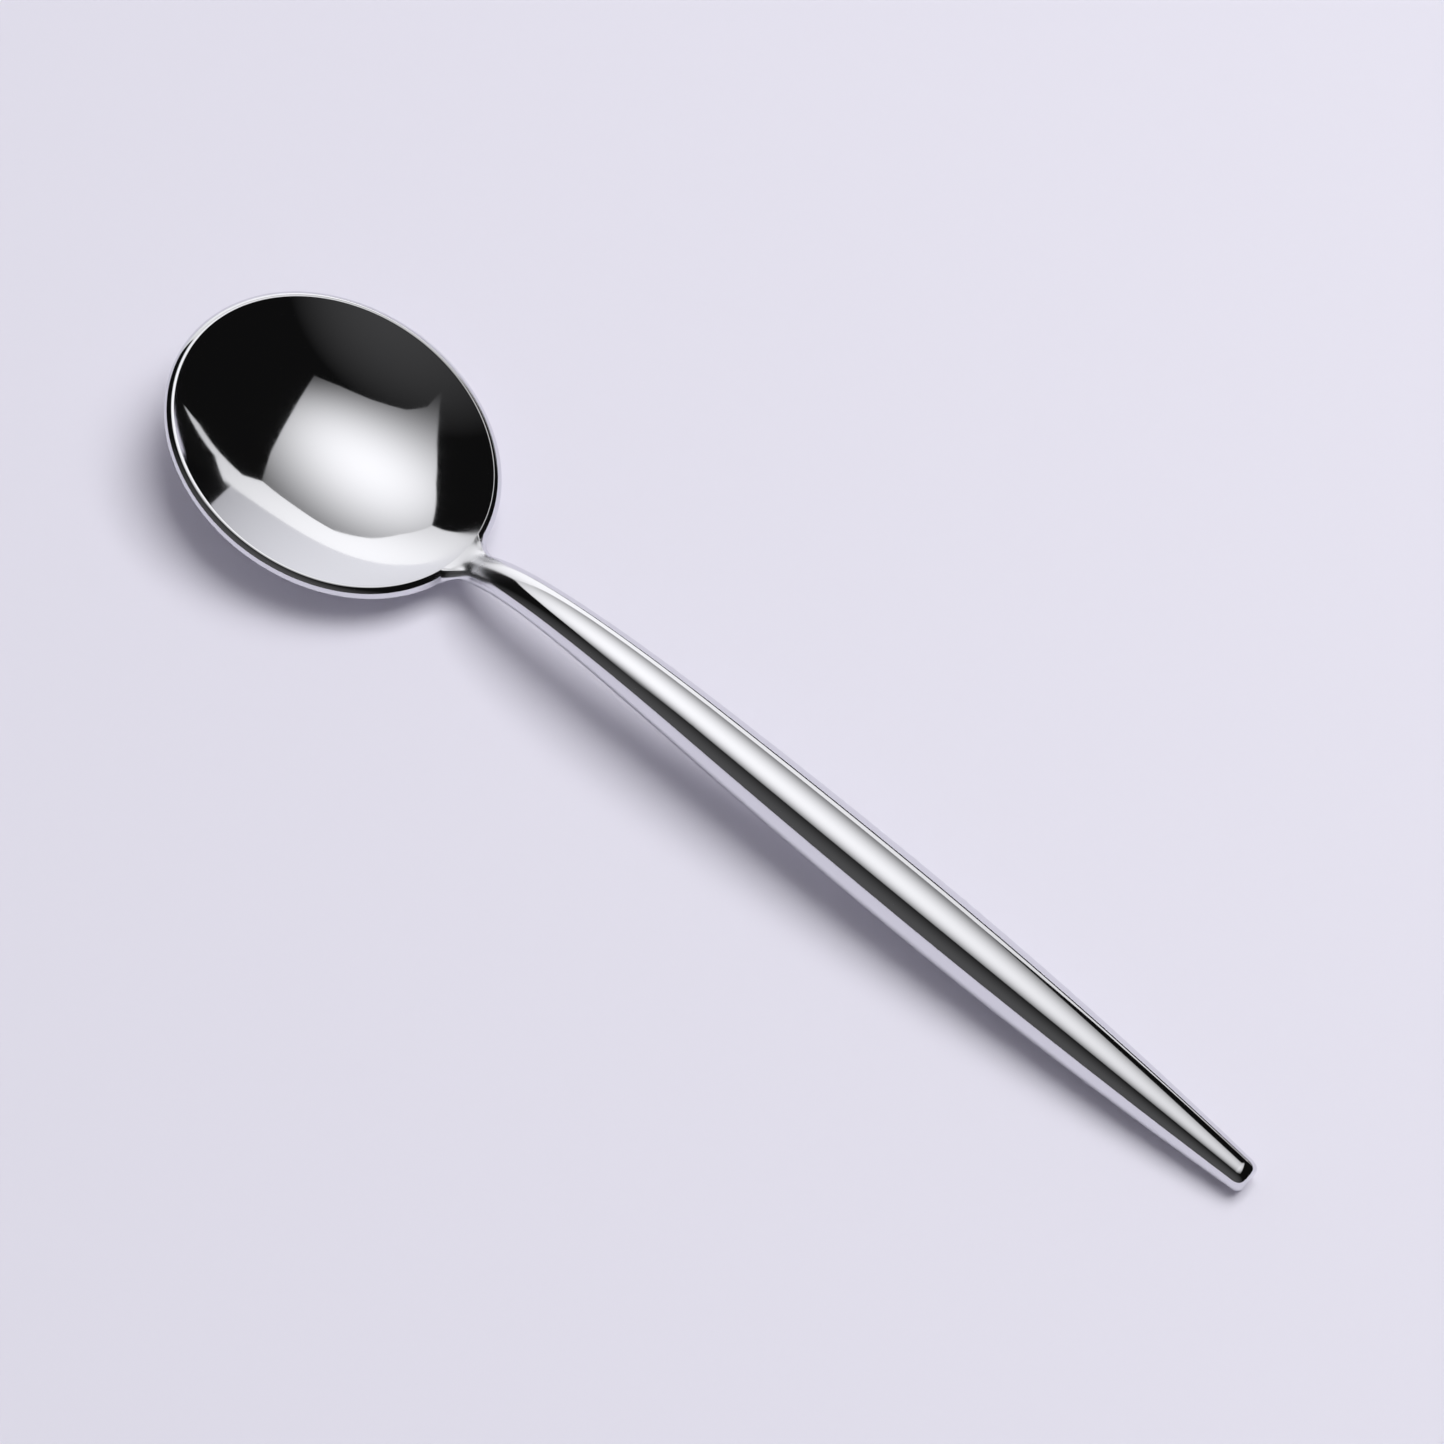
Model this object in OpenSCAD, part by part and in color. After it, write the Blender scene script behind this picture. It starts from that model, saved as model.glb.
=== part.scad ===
// Polished steel soup spoon with a round hollow handle, resting on its bowl and its tip.
// +X runs from the bowl to the tip, +Z is up, and the origin is on the table under the middle of the spoon.

/* [Bowl] */
// Length of the hollow at the lip
bowl_length = 48.5; // [42:0.1:56]
// Width of the hollow at the lip
bowl_width = 39.5; // [34:0.1:46]
// Depth of the hollow in its middle
bowl_depth = 8.8; // [6.5:0.1:11]
// Wall thickness at the lip
lip_wall = 2.1; // [1.6:0.05:2.6]
// Wall thickness at the bottom of the bowl
bottom_wall = 1.5; // [1:0.05:2]
// Rise of the lip's rounding, as a share of half the wall
lip_round_share = 0.55; // [0.4:0.05:1]
// Extra depth at the front of the bowl, taken from its back, as a share of the depth
lean_share = 0.1; // [0:0.005:0.3]
// Easing of the walls towards the lip, as a share of the depth
ease_share = 0.17; // [0:0.01:0.3]
// Steepening of the front and back walls, as a share of the depth
end_share = 0.36; // [0.2:0.005:0.9]
// Tilt of the lip with its front edge up, in degrees
bowl_tilt = 10.4; // [7:0.1:14]

/* [Neck] */
// Width of the neck where it leaves the bowl
neck_width = 4.65; // [4:0.05:6]
// Height of the neck where it leaves the bowl
neck_height = 3.9; // [3.2:0.05:4.6]
// Distance along the spoon from the bowl's lip to the mouth of the handle
neck_run = 44; // [36:0.2:52]
// Climb of the neck where it leaves the bowl, in degrees
neck_climb = 27; // [24:1:34]
// Reach of the polished weld beyond the neck on each side
root_fillet = 2.9; // [2.2:0.05:3.4]
// Reach of the polished weld into the hollow
root_lap = 1; // [0.6:0.05:1.4]
// Distance from the lip's ridge down to the middle of the polished weld
root_drop = 2.2; // [1.8:0.1:2.6]
// Reach of the polished weld under the bowl, from the lip's ridge
root_tail = 6.8; // [4:0.1:9]

/* [Handle] */
// Length of the handle along its axis, from its mouth to its flat end
handle_length = 96.2; // [84:0.2:112]
// Largest diameter of the handle
belly_d = 9.55; // [8:0.05:12]
// Distance from the mouth of the handle to its largest diameter
belly_run = 36; // [28:0.5:44]
// Diameter that the handle tapers to at its tip
tip_d = 4.6; // [4:0.05:6]
// Diameter of the flat end
end_d = 3.1; // [2:0.05:3.6]
// Length over which the tip rounds down to its flat end
tip_round = 1.8; // [1:0.05:2.4]
// Slope of the handle down to its tip, in degrees
handle_pitch = 4.6; // [3.6:0.05:8]

/* [Inside the handle] */
// Wall thickness of the two handle shells
shell_wall = 1; // [0.7:0.05:1.3]
// Diameter of the tang
tang_d = 3.2; // [2.4:0.1:4]
// Length of the tang inside the handle
tang_length = 45; // [30:1:60]
// Length of the bush that centres the tang
bush_length = 6; // [4:0.5:9]
// Length of the tip plug that shows
plug_length = 5; // [3.5:0.1:8]
// Diameter of the plug's spigot
spigot_d = 2.6; // [2:0.05:3]
// Length of the plug's spigot
spigot_length = 6; // [4:0.5:9]

/* [Hidden] */

// Clearances and overruns
fit_gap = 0.02;
fill_gap = 0.05;
weld_gap = 0.07;
overrun = 1;

// Facet counts
bowl_sides = 80;
bowl_rings = 14;
lip_steps = 8;
neck_sides = 40;
neck_rings = 26;
weld_steps = 8;
cap_steps = 20;
profile_steps = 36;
round_steps = 8;
$fn = 64;

// Pulls of the neck's curve at its root and at the handle, as shares of its run
root_pull_share = 0.09;
end_pull_share = 0.716;

// Distance from the lip's outside to the neck's first section
neck_lead = 2;

// Widening of the weld below its middle, as a share of its reach
root_flare_share = 0.8;

// Pull of the weld's curves, as a share of their run each way, and the least run that counts
weld_pull_share = 1.3;
least_run = 0.5;

// Small steps in way along the bowl's skin, in degrees round it and in way along the neck, for slopes
skin_step = 0.001;
turn_step = 0.05;
neck_step = 0.001;

steel = [0.80, 0.81, 0.84];
shell_steel = [0.74, 0.75, 0.79];
bush_steel = [0.55, 0.57, 0.60];
resin = [0.62, 0.55, 0.42];

// Vector helpers
function unit(v) = v / norm(v);
function along(angle) = [cos(angle), 0, sin(angle)];
function upright(angle) = [-sin(angle), 0, cos(angle)];

// Hollow of the bowl in the lip's own plane, at a share of the way from its middle to the lip
half_lip = lip_wall / 2;
hollow_a = bowl_length / 2;
hollow_b = bowl_width / 2;

function hollow_form(share, t) =
    1 - lean_share * share * cos(t) - ease_share * share * share + end_share * pow(share * cos(t), 2);
function hollow_point(share, t) =
    [hollow_a * share * cos(t), hollow_b * share * sin(t),
        -bowl_depth * (1 - share * share) * hollow_form(share, t)];

// Direction out of the wall, away from the hollow
function wall_normal(share, t) =
    let (x = share * cos(t), y = share * sin(t), form = hollow_form(share, t), left = 1 - share * share)
    unit([bowl_depth / hollow_a * (2 * x * form + left * (lean_share + 2 * (ease_share - end_share) * x)),
        bowl_depth / hollow_b * (2 * y * form + 2 * left * ease_share * y), -1]);
function wall(share) = bottom_wall + (lip_wall - bottom_wall) * share * share * (3 - 2 * share);
function lip_rise(t) = cross(wall_normal(1, t), unit([-hollow_a * sin(t), hollow_b * cos(t), 0]));

// Skin of the bowl: way runs from 0 to 1 up the hollow, to 2 over the lip and to 3 down the outside
function skin_share(way) = min(way, 1, 3 - way);
function skin_roll(way) = 180 * max(0, min(way - 1, 1));
function skin_point(way, t) =
    let (share = skin_share(way), roll = skin_roll(way), half = wall(share) / 2)
    hollow_point(share, t) + half * (1 - cos(roll)) * wall_normal(share, t)
        + half * lip_round_share * sin(roll) * lip_rise(t);
function skin_normal(way, t) =
    let (roll = skin_roll(way))
    unit(sin(roll) / lip_round_share * lip_rise(t) - cos(roll) * wall_normal(skin_share(way), t));

// Rings of the bowl from the middle of its hollow, over the lip, to the middle of its underside
function tilted(p) =
    [p[0] * cos(bowl_tilt) + p[2] * sin(bowl_tilt), p[1], p[2] * cos(bowl_tilt) - p[0] * sin(bowl_tilt)];
bowl_ways = [
    for (i = [1 : bowl_rings]) i / bowl_rings,
    for (i = [1 : lip_steps]) 1 + i / lip_steps,
    for (i = [1 : bowl_rings - 1]) 2 + i / bowl_rings
];
bowl_skin = [for (way = bowl_ways)
    [for (k = [0 : bowl_sides - 1]) tilted(skin_point(way, 360 * k / bowl_sides))]];

// Radius of the handle and neck, at a distance from the neck's root
belly_at = neck_run + belly_run;
end_at = neck_run + handle_length;
round_at = end_at - tip_round;
function swell(d) = neck_width / 2 + (belly_d - neck_width) / 2 * sin(90 * max(d, 0) / belly_at);
function taper(d) = belly_d / 2 - (belly_d - tip_d) / 2 * pow((d - belly_at) / (end_at - belly_at), 2);
function body_r(d) = d < belly_at ? swell(d) : taper(d);
function tip_r(share) = end_d / 2 + (taper(round_at) - end_d / 2) * sqrt(1 - share * share);
function handle_r(s) = body_r(neck_run + s);
mouth_r = handle_r(0);
shell_end = handle_length - plug_length;

// Outlines of the shells and of the rounded tip, as [radius, distance from the mouth]
shell_outline = [for (i = [0 : profile_steps]) let (s = shell_end * i / profile_steps) [handle_r(s), s]];
tip_outline = [for (i = [0 : round_steps]) let (share = sin(90 * i / round_steps))
    [tip_r(share), handle_length - tip_round + tip_round * share]];

// Resting place: the bowl's underside and the handle's tip both touch the table, and X is centred
bowl_lift = -min([for (ring = bowl_skin, p = ring) p[2]]);
handle_axis = along(-handle_pitch);
tip_lift = max([for (p = concat(shell_outline, tip_outline))
    p[0] * cos(handle_pitch) - (handle_length - p[1]) * sin(handle_pitch)]);
front_x = min([for (ring = bowl_skin, p = ring) p[0]]);
lip_end = tilted(skin_point(1.5, 0));
mouth_x = lip_end[0] + neck_run;
end_x = max([for (p = tip_outline) mouth_x + p[1] * cos(handle_pitch) + p[0] * sin(handle_pitch)]);
bowl_place = [-(front_x + end_x) / 2, 0, bowl_lift];
mouth_place = [mouth_x + bowl_place[0], 0, tip_lift + handle_length * sin(handle_pitch)];

// Centre line of the neck: its top is flush with the hollow, and it climbs over into the handle's axis
root_way = along(neck_climb);
root_place = bowl_place + tilted(skin_point(1, 0)) + (lip_wall + neck_lead) * root_way
    - neck_height / 2 * upright(neck_climb);
neck_poles = [root_place, root_place + root_pull_share * neck_run * root_way,
    mouth_place - end_pull_share * neck_run * handle_axis, mouth_place];
function neck_line(u) = pow(1 - u, 3) * neck_poles[0] + 3 * u * pow(1 - u, 2) * neck_poles[1]
    + 3 * u * u * (1 - u) * neck_poles[2] + pow(u, 3) * neck_poles[3];
function neck_way(u) = unit(pow(1 - u, 2) * (neck_poles[1] - neck_poles[0])
    + 2 * u * (1 - u) * (neck_poles[2] - neck_poles[1]) + u * u * (neck_poles[3] - neck_poles[2]));

// Skin of the neck, which is flatter at its root and round at the handle
function neck_wide(x) = swell(min(x - bowl_place[0] - lip_end[0], neck_run));
flat_share = 1 - neck_height / 2 / neck_wide(root_place[0]);
function neck_point(u, v) =
    let (p = neck_line(u), way = neck_way(u), wide = neck_wide(p[0]),
        left = max(0, 1 - (p[0] - root_place[0]) / (mouth_place[0] - root_place[0])),
        tall = wide * (1 - flat_share * left * left))
    p + [0, -wide * cos(v), 0] + tall * sin(v) * [-way[2], 0, way[0]];

// Edge of the polished weld, or a smaller loop inside it, as distances along the lip and down from its ridge
root_reach = neck_width / 2 + root_fillet;
lip_run = PI * half_lip * (1 + lip_round_share) / 2;
wall_run = norm(skin_point(2 + skin_step, 0) - skin_point(2, 0)) / skin_step;
hollow_run = norm(skin_point(1 - skin_step, 0) - skin_point(1, 0)) / skin_step;
function weld_loop(v, scale) =
    let (low = min(sin(v), 0), tall = low < 0 ? root_tail - root_drop : root_drop + lip_run / 2 + root_lap)
    [-scale * root_reach * cos(v) * (1 + root_flare_share * low * low), root_drop - scale * tall * sin(v)];

// The same loop on the bowl's skin, as [way, t]
function weld_way(run) =
    let (over = max(-lip_run / 2, min(run, lip_run / 2)))
    1.5 + over / lip_run + (run - over) / (run > 0 ? wall_run : hollow_run);
function weld_spot(v, scale) =
    let (loop = weld_loop(v, scale), way = weld_way(loop[1]))
    [way, asin(loop[0] / skin_point(way, 90)[1])];
function weld_seat(v, scale) =
    let (spot = weld_spot(v, scale))
    bowl_place + tilted(skin_point(spot[0], spot[1]) + weld_gap * skin_normal(spot[0], spot[1]));

// Curves of the weld, which leave the bowl's skin along it and join the neck without a crease
function weld_leave(v) =
    let (spot = weld_spot(v, 1), turn = weld_loop(v + turn_step, 1) - weld_loop(v - turn_step, 1),
        over = skin_point(spot[0] + skin_step, spot[1]) - skin_point(spot[0] - skin_step, spot[1]),
        around = skin_point(spot[0], spot[1] + turn_step) - skin_point(spot[0], spot[1] - turn_step))
    tilted(unit(turn[0] * unit(over) - turn[1] * unit(around)));
function weld_pull(span, way) = weld_pull_share * max(span * way, least_run) * way;
function weld_point(w, v) =
    let (start = weld_seat(v, 1), end = neck_point(0, v), join = unit(neck_point(neck_step, v) - end))
    (2 * pow(w, 3) - 3 * w * w + 1) * start + (3 * w * w - 2 * pow(w, 3)) * end
        + (pow(w, 3) - 2 * w * w + w) * weld_pull(end - start, weld_leave(v))
        + (pow(w, 3) - w * w) * weld_pull(end - start, join);

// Rings of the neck: a cap that lies on the bowl, the weld and the swept body
neck_turns = [for (k = [0 : neck_sides - 1]) 360 * k / neck_sides];
neck_skin = [
    for (i = [1 : cap_steps]) [for (v = neck_turns) weld_seat(v, i / cap_steps)],
    for (i = [1 : weld_steps - 1]) [for (v = neck_turns) weld_point(i / weld_steps, v)],
    for (i = [0 : neck_rings]) [for (v = neck_turns) neck_point(i / neck_rings, v)]
];

// Closed skin through a stack of rings, with a point at each end
module ringed(first, rings, last) {
    sides = len(rings[0]);
    count = len(rings);
    tail = 1 + count * sides;
    points = concat([first], [for (ring = rings, p = ring) p], [last]);
    faces = [
        for (k = [0 : sides - 1]) let (n = (k + 1) % sides) [0, 1 + n, 1 + k],
        for (i = [0 : count - 2], k = [0 : sides - 1])
            let (a = 1 + i * sides, b = a + sides, n = (k + 1) % sides)
            each [[a + k, a + n, b + n], [a + k, b + n, b + k]],
        for (k = [0 : sides - 1]) let (a = tail - sides, n = (k + 1) % sides) [tail, a + k, a + n]
    ];
    polyhedron(points, faces, convexity = 6);
}

// Children stand on the mouth of the handle with +Z along its axis and -X up
module on_handle() {
    translate(mouth_place) rotate([0, 90 + handle_pitch, 0]) children();
}

bush_r = mouth_r - shell_wall;
fill_end = shell_end - spigot_length;
function bore_r(s) = handle_r(s) - shell_wall;

// Half of the hollow handle: outside swell, seat for the bush, hollow, and seat for the plug's spigot
module half_shell() {
    rotate_extrude(angle = 180) polygon(concat(
        shell_outline,
        [[spigot_d / 2, shell_end], [spigot_d / 2, fill_end]],
        [for (i = [profile_steps : -1 : 0])
            let (s = bush_length + (fill_end - bush_length) * i / profile_steps)
            [bore_r(s), s]],
        [[bush_r, bush_length], [bush_r, 0]]
    ));
}

// Oval bowl with a softened lip
module bowl() {
    color(steel) translate(bowl_place) ringed(tilted(skin_point(0, 0)), bowl_skin, tilted(skin_point(3, 0)));
}

// Forged neck, welded to the bowl, with the tang that runs into the handle
module neck() {
    color(steel) {
        ringed(weld_seat(0, 0), neck_skin, mouth_place);
        on_handle() translate([0, 0, -overrun]) cylinder(d = tang_d, h = overrun + tang_length);
    }
}

// Upper half of the handle, seam welded to the lower half
module handle_upper_shell() {
    color(shell_steel) on_handle() rotate([0, 0, 90]) half_shell();
}

// Lower half of the handle
module handle_lower_shell() {
    color(shell_steel) on_handle() rotate([0, 0, -90]) half_shell();
}

// Ring that centres the tang in the mouth of the handle and backs the weld there
module tang_bush() {
    color(bush_steel) on_handle() translate([0, 0, fit_gap]) difference() {
        cylinder(r = bush_r - fit_gap, h = bush_length - 2 * fit_gap);
        translate([0, 0, -overrun]) cylinder(d = tang_d + 2 * fit_gap, h = bush_length + 2 * overrun);
    }
}

// Cast resin that fills the hollow and beds the tang
module filler_core() {
    color(resin) on_handle() difference() {
        rotate_extrude() polygon(concat([[0, bush_length]],
            [for (i = [0 : profile_steps])
                let (s = bush_length + (fill_end - fill_gap - bush_length) * i / profile_steps)
                [bore_r(s) - fill_gap, s]],
            [[0, fill_end - fill_gap]]));
        cylinder(d = tang_d + 2 * fit_gap, h = tang_length + fit_gap);
    }
}

// Plug that closes the tip, with the small flat end
module tip_plug() {
    color(steel) on_handle() rotate_extrude() polygon(concat(
        [[0, fill_end], [spigot_d / 2 - fit_gap, fill_end], [spigot_d / 2 - fit_gap, shell_end]],
        [[handle_r(shell_end), shell_end]],
        tip_outline,
        [[0, handle_length]]
    ));
}

bowl();
neck();
handle_upper_shell();
handle_lower_shell();
tang_bush();
filler_core();
tip_plug();
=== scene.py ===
"""Looks of a polished steel soup spoon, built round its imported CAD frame.

Shapes are worked out in millimetres in the CAD frame and stored in metres: +X runs from the bowl to the
handle's tip, +Z is up, and the origin is on the table under the middle of the spoon.
"""
import math

import bpy
import numpy as np
from bpy.props import FloatProperty, FloatVectorProperty, PointerProperty, StringProperty
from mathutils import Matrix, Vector


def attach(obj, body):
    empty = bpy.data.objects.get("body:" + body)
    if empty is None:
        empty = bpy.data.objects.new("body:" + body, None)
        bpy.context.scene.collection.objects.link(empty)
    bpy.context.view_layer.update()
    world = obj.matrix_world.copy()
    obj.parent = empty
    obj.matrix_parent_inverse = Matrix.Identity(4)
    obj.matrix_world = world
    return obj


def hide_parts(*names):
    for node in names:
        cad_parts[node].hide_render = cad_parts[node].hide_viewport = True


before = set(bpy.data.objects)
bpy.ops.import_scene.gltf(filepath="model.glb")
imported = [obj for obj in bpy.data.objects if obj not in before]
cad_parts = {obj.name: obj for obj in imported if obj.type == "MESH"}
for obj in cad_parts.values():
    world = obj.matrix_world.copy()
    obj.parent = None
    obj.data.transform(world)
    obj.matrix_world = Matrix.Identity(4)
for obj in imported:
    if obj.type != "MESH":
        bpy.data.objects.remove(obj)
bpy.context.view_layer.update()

bl_info = {
    "name": "Soup spoon",
    "version": (1, 0, 0),
    "blender": (4, 5, 0),
    "location": "3D View > Sidebar > Spoon",
    "description": "Builds the polished pieces of a soup spoon and the stage it lies on",
    "category": "Add Mesh",
}

MM = 0.001
QUARTER = math.pi / 2
UP = np.array([0.0, 0.0, 1.0])
ACROSS = np.array([0.0, 1.0, 0.0])

# Sides of the round meshes and rings along their parts
BOWL_SIDES, HOLLOW_RINGS, LIP_RINGS = 256, 96, 25
NECK_SIDES, WELD_RINGS, NECK_RINGS = 128, 40, 120
SHELL_RINGS, SHELL_SIDES = 321, 65
PLUG_SIDES, PLUG_RINGS, TIP_RINGS = 128, 24, 24
DOME_SIDES, DOME_RINGS = 64, 16

# Steps along the outlines that set the spoon on the table, and a small step for slopes
BOWL_PROBES, TIP_PROBES = 8001, 64
SLOPE_STEP = 1e-4

# Way along the bowl's skin at the ridge of its lip
LIP_RIDGE = 1.5

# Distance within which the edges of a shell's skin and wall are joined, in millimetres
SHELL_JOIN = 0.001

# Least run of a weld's curve that counts, in millimetres
LEAST_RUN = 0.5

# Loops of the weld's seat, as shares of its edge, and the millimetres that it bites into the bowl
SEAT_SHARES = (0.25, 0.5, 0.75, 1.0)
SEAT_BITE = 0.05

# Radians that the wave texture turns by over one unit of its scale
WAVE_TURN = 20


def length(name, mm, description):
    """A size property that is given in millimetres."""
    return FloatProperty(name=name, description=description, default=mm * MM, precision=5, unit="LENGTH")


def angle(name, degrees, description):
    """An angle property that is given in degrees."""
    return FloatProperty(name=name, description=description, default=math.radians(degrees), unit="ROTATION")


def share(name, value, description):
    """A plain share."""
    return FloatProperty(name=name, description=description, default=value, precision=3)


def tint(name, hex_code, description):
    """A colour that is given and kept as an sRGB hex value."""
    return StringProperty(name=name, description=description, default=hex_code)


class SpoonSizes(bpy.types.PropertyGroup):
    """Sizes of the spoon: those of its solids, and the edge of the lip, which only the looks have."""

    bowl_length: length("Bowl length", 48.5, "Length of the hollow at the lip")
    bowl_width: length("Bowl width", 39.5, "Width of the hollow at the lip")
    bowl_depth: length("Bowl depth", 8.8, "Depth of the hollow in its middle")
    lip_wall: length("Lip wall", 2.1, "Wall at the lip")
    bottom_wall: length("Bottom wall", 1.5, "Wall at the bottom of the bowl")
    lip_round: share("Lip rounding", 0.55, "Rise of the lip's rounding, as a share of half the wall")
    lip_edge: angle("Lip edge", 24, "Turn of the lip's rounding at its crisp inner edge")
    lean: share("Lean", 0.1, "Extra depth at the bowl's front, taken from its back")
    ease: share("Ease", 0.17, "Easing of the walls towards the lip")
    ends: share("Ends", 0.36, "Steepening of the front and back walls")
    bowl_tilt: angle("Bowl tilt", 10.4, "Tilt of the lip with its front edge up")
    neck_width: length("Neck width", 4.65, "Width of the neck where it leaves the bowl")
    neck_height: length("Neck height", 3.9, "Height of the neck where it leaves the bowl")
    neck_run: length("Neck run", 44, "Distance along the spoon from the lip to the handle's mouth")
    neck_climb: angle("Neck climb", 27, "Climb of the neck where it leaves the bowl")
    neck_lead: length("Neck lead", 2, "Distance from the lip's outside to the neck's first section")
    root_pull: share("Root pull", 0.09, "Pull of the neck's curve at its root, as a share of its run")
    end_pull: share("End pull", 0.716, "Pull of the neck's curve at the handle, as a share of its run")
    root_fillet: length("Root fillet", 2.9, "Reach of the polished weld beyond the neck on each side")
    root_lap: length("Root lap", 1, "Reach of the polished weld into the hollow")
    root_drop: length("Root drop", 2.2, "Distance from the lip's ridge down to the weld's middle")
    root_tail: length("Root tail", 6.8, "Reach of the polished weld under the bowl")
    weld_pull: share("Weld pull", 1.3, "Pull of the weld's curves, as a share of their run each way")
    root_flare: share("Root flare", 0.8, "Widening of the weld below its middle, as a share of its reach")
    handle_length: length("Handle length", 96.2, "Length of the handle along its axis")
    belly_d: length("Belly diameter", 9.55, "Largest diameter of the handle")
    belly_run: length("Belly run", 36, "Distance from the handle's mouth to its belly")
    tip_d: length("Tip diameter", 4.6, "Diameter that the handle tapers to")
    end_d: length("End diameter", 3.1, "Diameter of the flat end")
    tip_round: length("Tip rounding", 1.8, "Length over which the tip rounds to its flat end")
    handle_pitch: angle("Handle pitch", 4.6, "Slope of the handle down to its tip")
    shell_wall: length("Shell wall", 1, "Wall of the two handle shells")
    plug_length: length("Plug length", 5, "Length of the tip plug that shows")
    spigot_d: length("Spigot diameter", 2.56, "Diameter of the plug's spigot")
    spigot_length: length("Spigot length", 6, "Length of the plug's spigot")


class SpoonFinish(bpy.types.PropertyGroup):
    """Colours of the spoon and its stage, as sRGB hex values."""

    polished: tint("Polished steel", "E2E2E6", "Colour of the mirror-polished steel")
    turned: tint("Turned steel", "8F9196", "Colour of the unpolished bush")
    resin: tint("Resin", "B6A27C", "Colour of the filling resin")
    resin_cloud: tint("Resin clouds", "9C8861", "Colour of the clouds of filler in the resin")
    paper: tint("Paper", "E3E1EB", "Colour of the floor")
    fill: tint("Fill", "E6E4EE", "Colour of the room's fill light")


class SpoonLight(bpy.types.PropertyGroup):
    """Camera and light levels of the stage."""

    azimuth: angle("Azimuth", 41.37, "Camera's turn round the spoon")
    elevation: angle("Elevation", 61.61, "Camera's height above the horizon")
    distance: length("Distance", 700, "Camera's distance from the point that it looks at")
    focal: FloatProperty(name="Focal length", description="Lens in millimetres", default=126.1)
    aim: FloatVectorProperty(name="Aim", description="Point that the camera looks at",
                             default=(-0.00296, 0.00659, 0.0), subtype="TRANSLATION")
    # Levels of the painted reflections of the softbox and backdrop, which glow in the steel but light nothing
    softbox: FloatProperty(name="Softbox", description="Brightness of the softbox's middle", default=1.28)
    backdrop: FloatProperty(name="Backdrop", description="Brightness of the backdrop's middle", default=1.25)
    # Level of the painted glow of the dark walls in front, which only the steel mirrors
    dark: FloatProperty(name="Dark side", description="Brightness of the dark walls in front", default=0.09)
    key: FloatProperty(name="Key", description="Power of the key lamp", default=27.0, unit="POWER")
    key_place: FloatVectorProperty(name="Key place", description="Place of the key lamp",
                                   default=(0.24, 0.64, 1.6), subtype="TRANSLATION")
    key_size: length("Key size", 1200, "Side of the square key lamp")
    room: FloatProperty(name="Room", description="Brightness of the room's fill light", default=0.34)


def linear(hex_code):
    """Linear colour of an sRGB hex value."""
    parts = [int(hex_code[i:i + 2], 16) / 255 for i in (0, 2, 4)]
    return [c / 12.92 if c <= 0.04045 else ((c + 0.055) / 1.055) ** 2.4 for c in parts] + [1.0]


def unit(v):
    """Vectors of length one along the last axis."""
    return v / np.linalg.norm(v, axis=-1, keepdims=True)


def stacked(*parts):
    """Points from separate x, y and z arrays."""
    return np.stack(np.broadcast_arrays(*parts), axis=-1)


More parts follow.
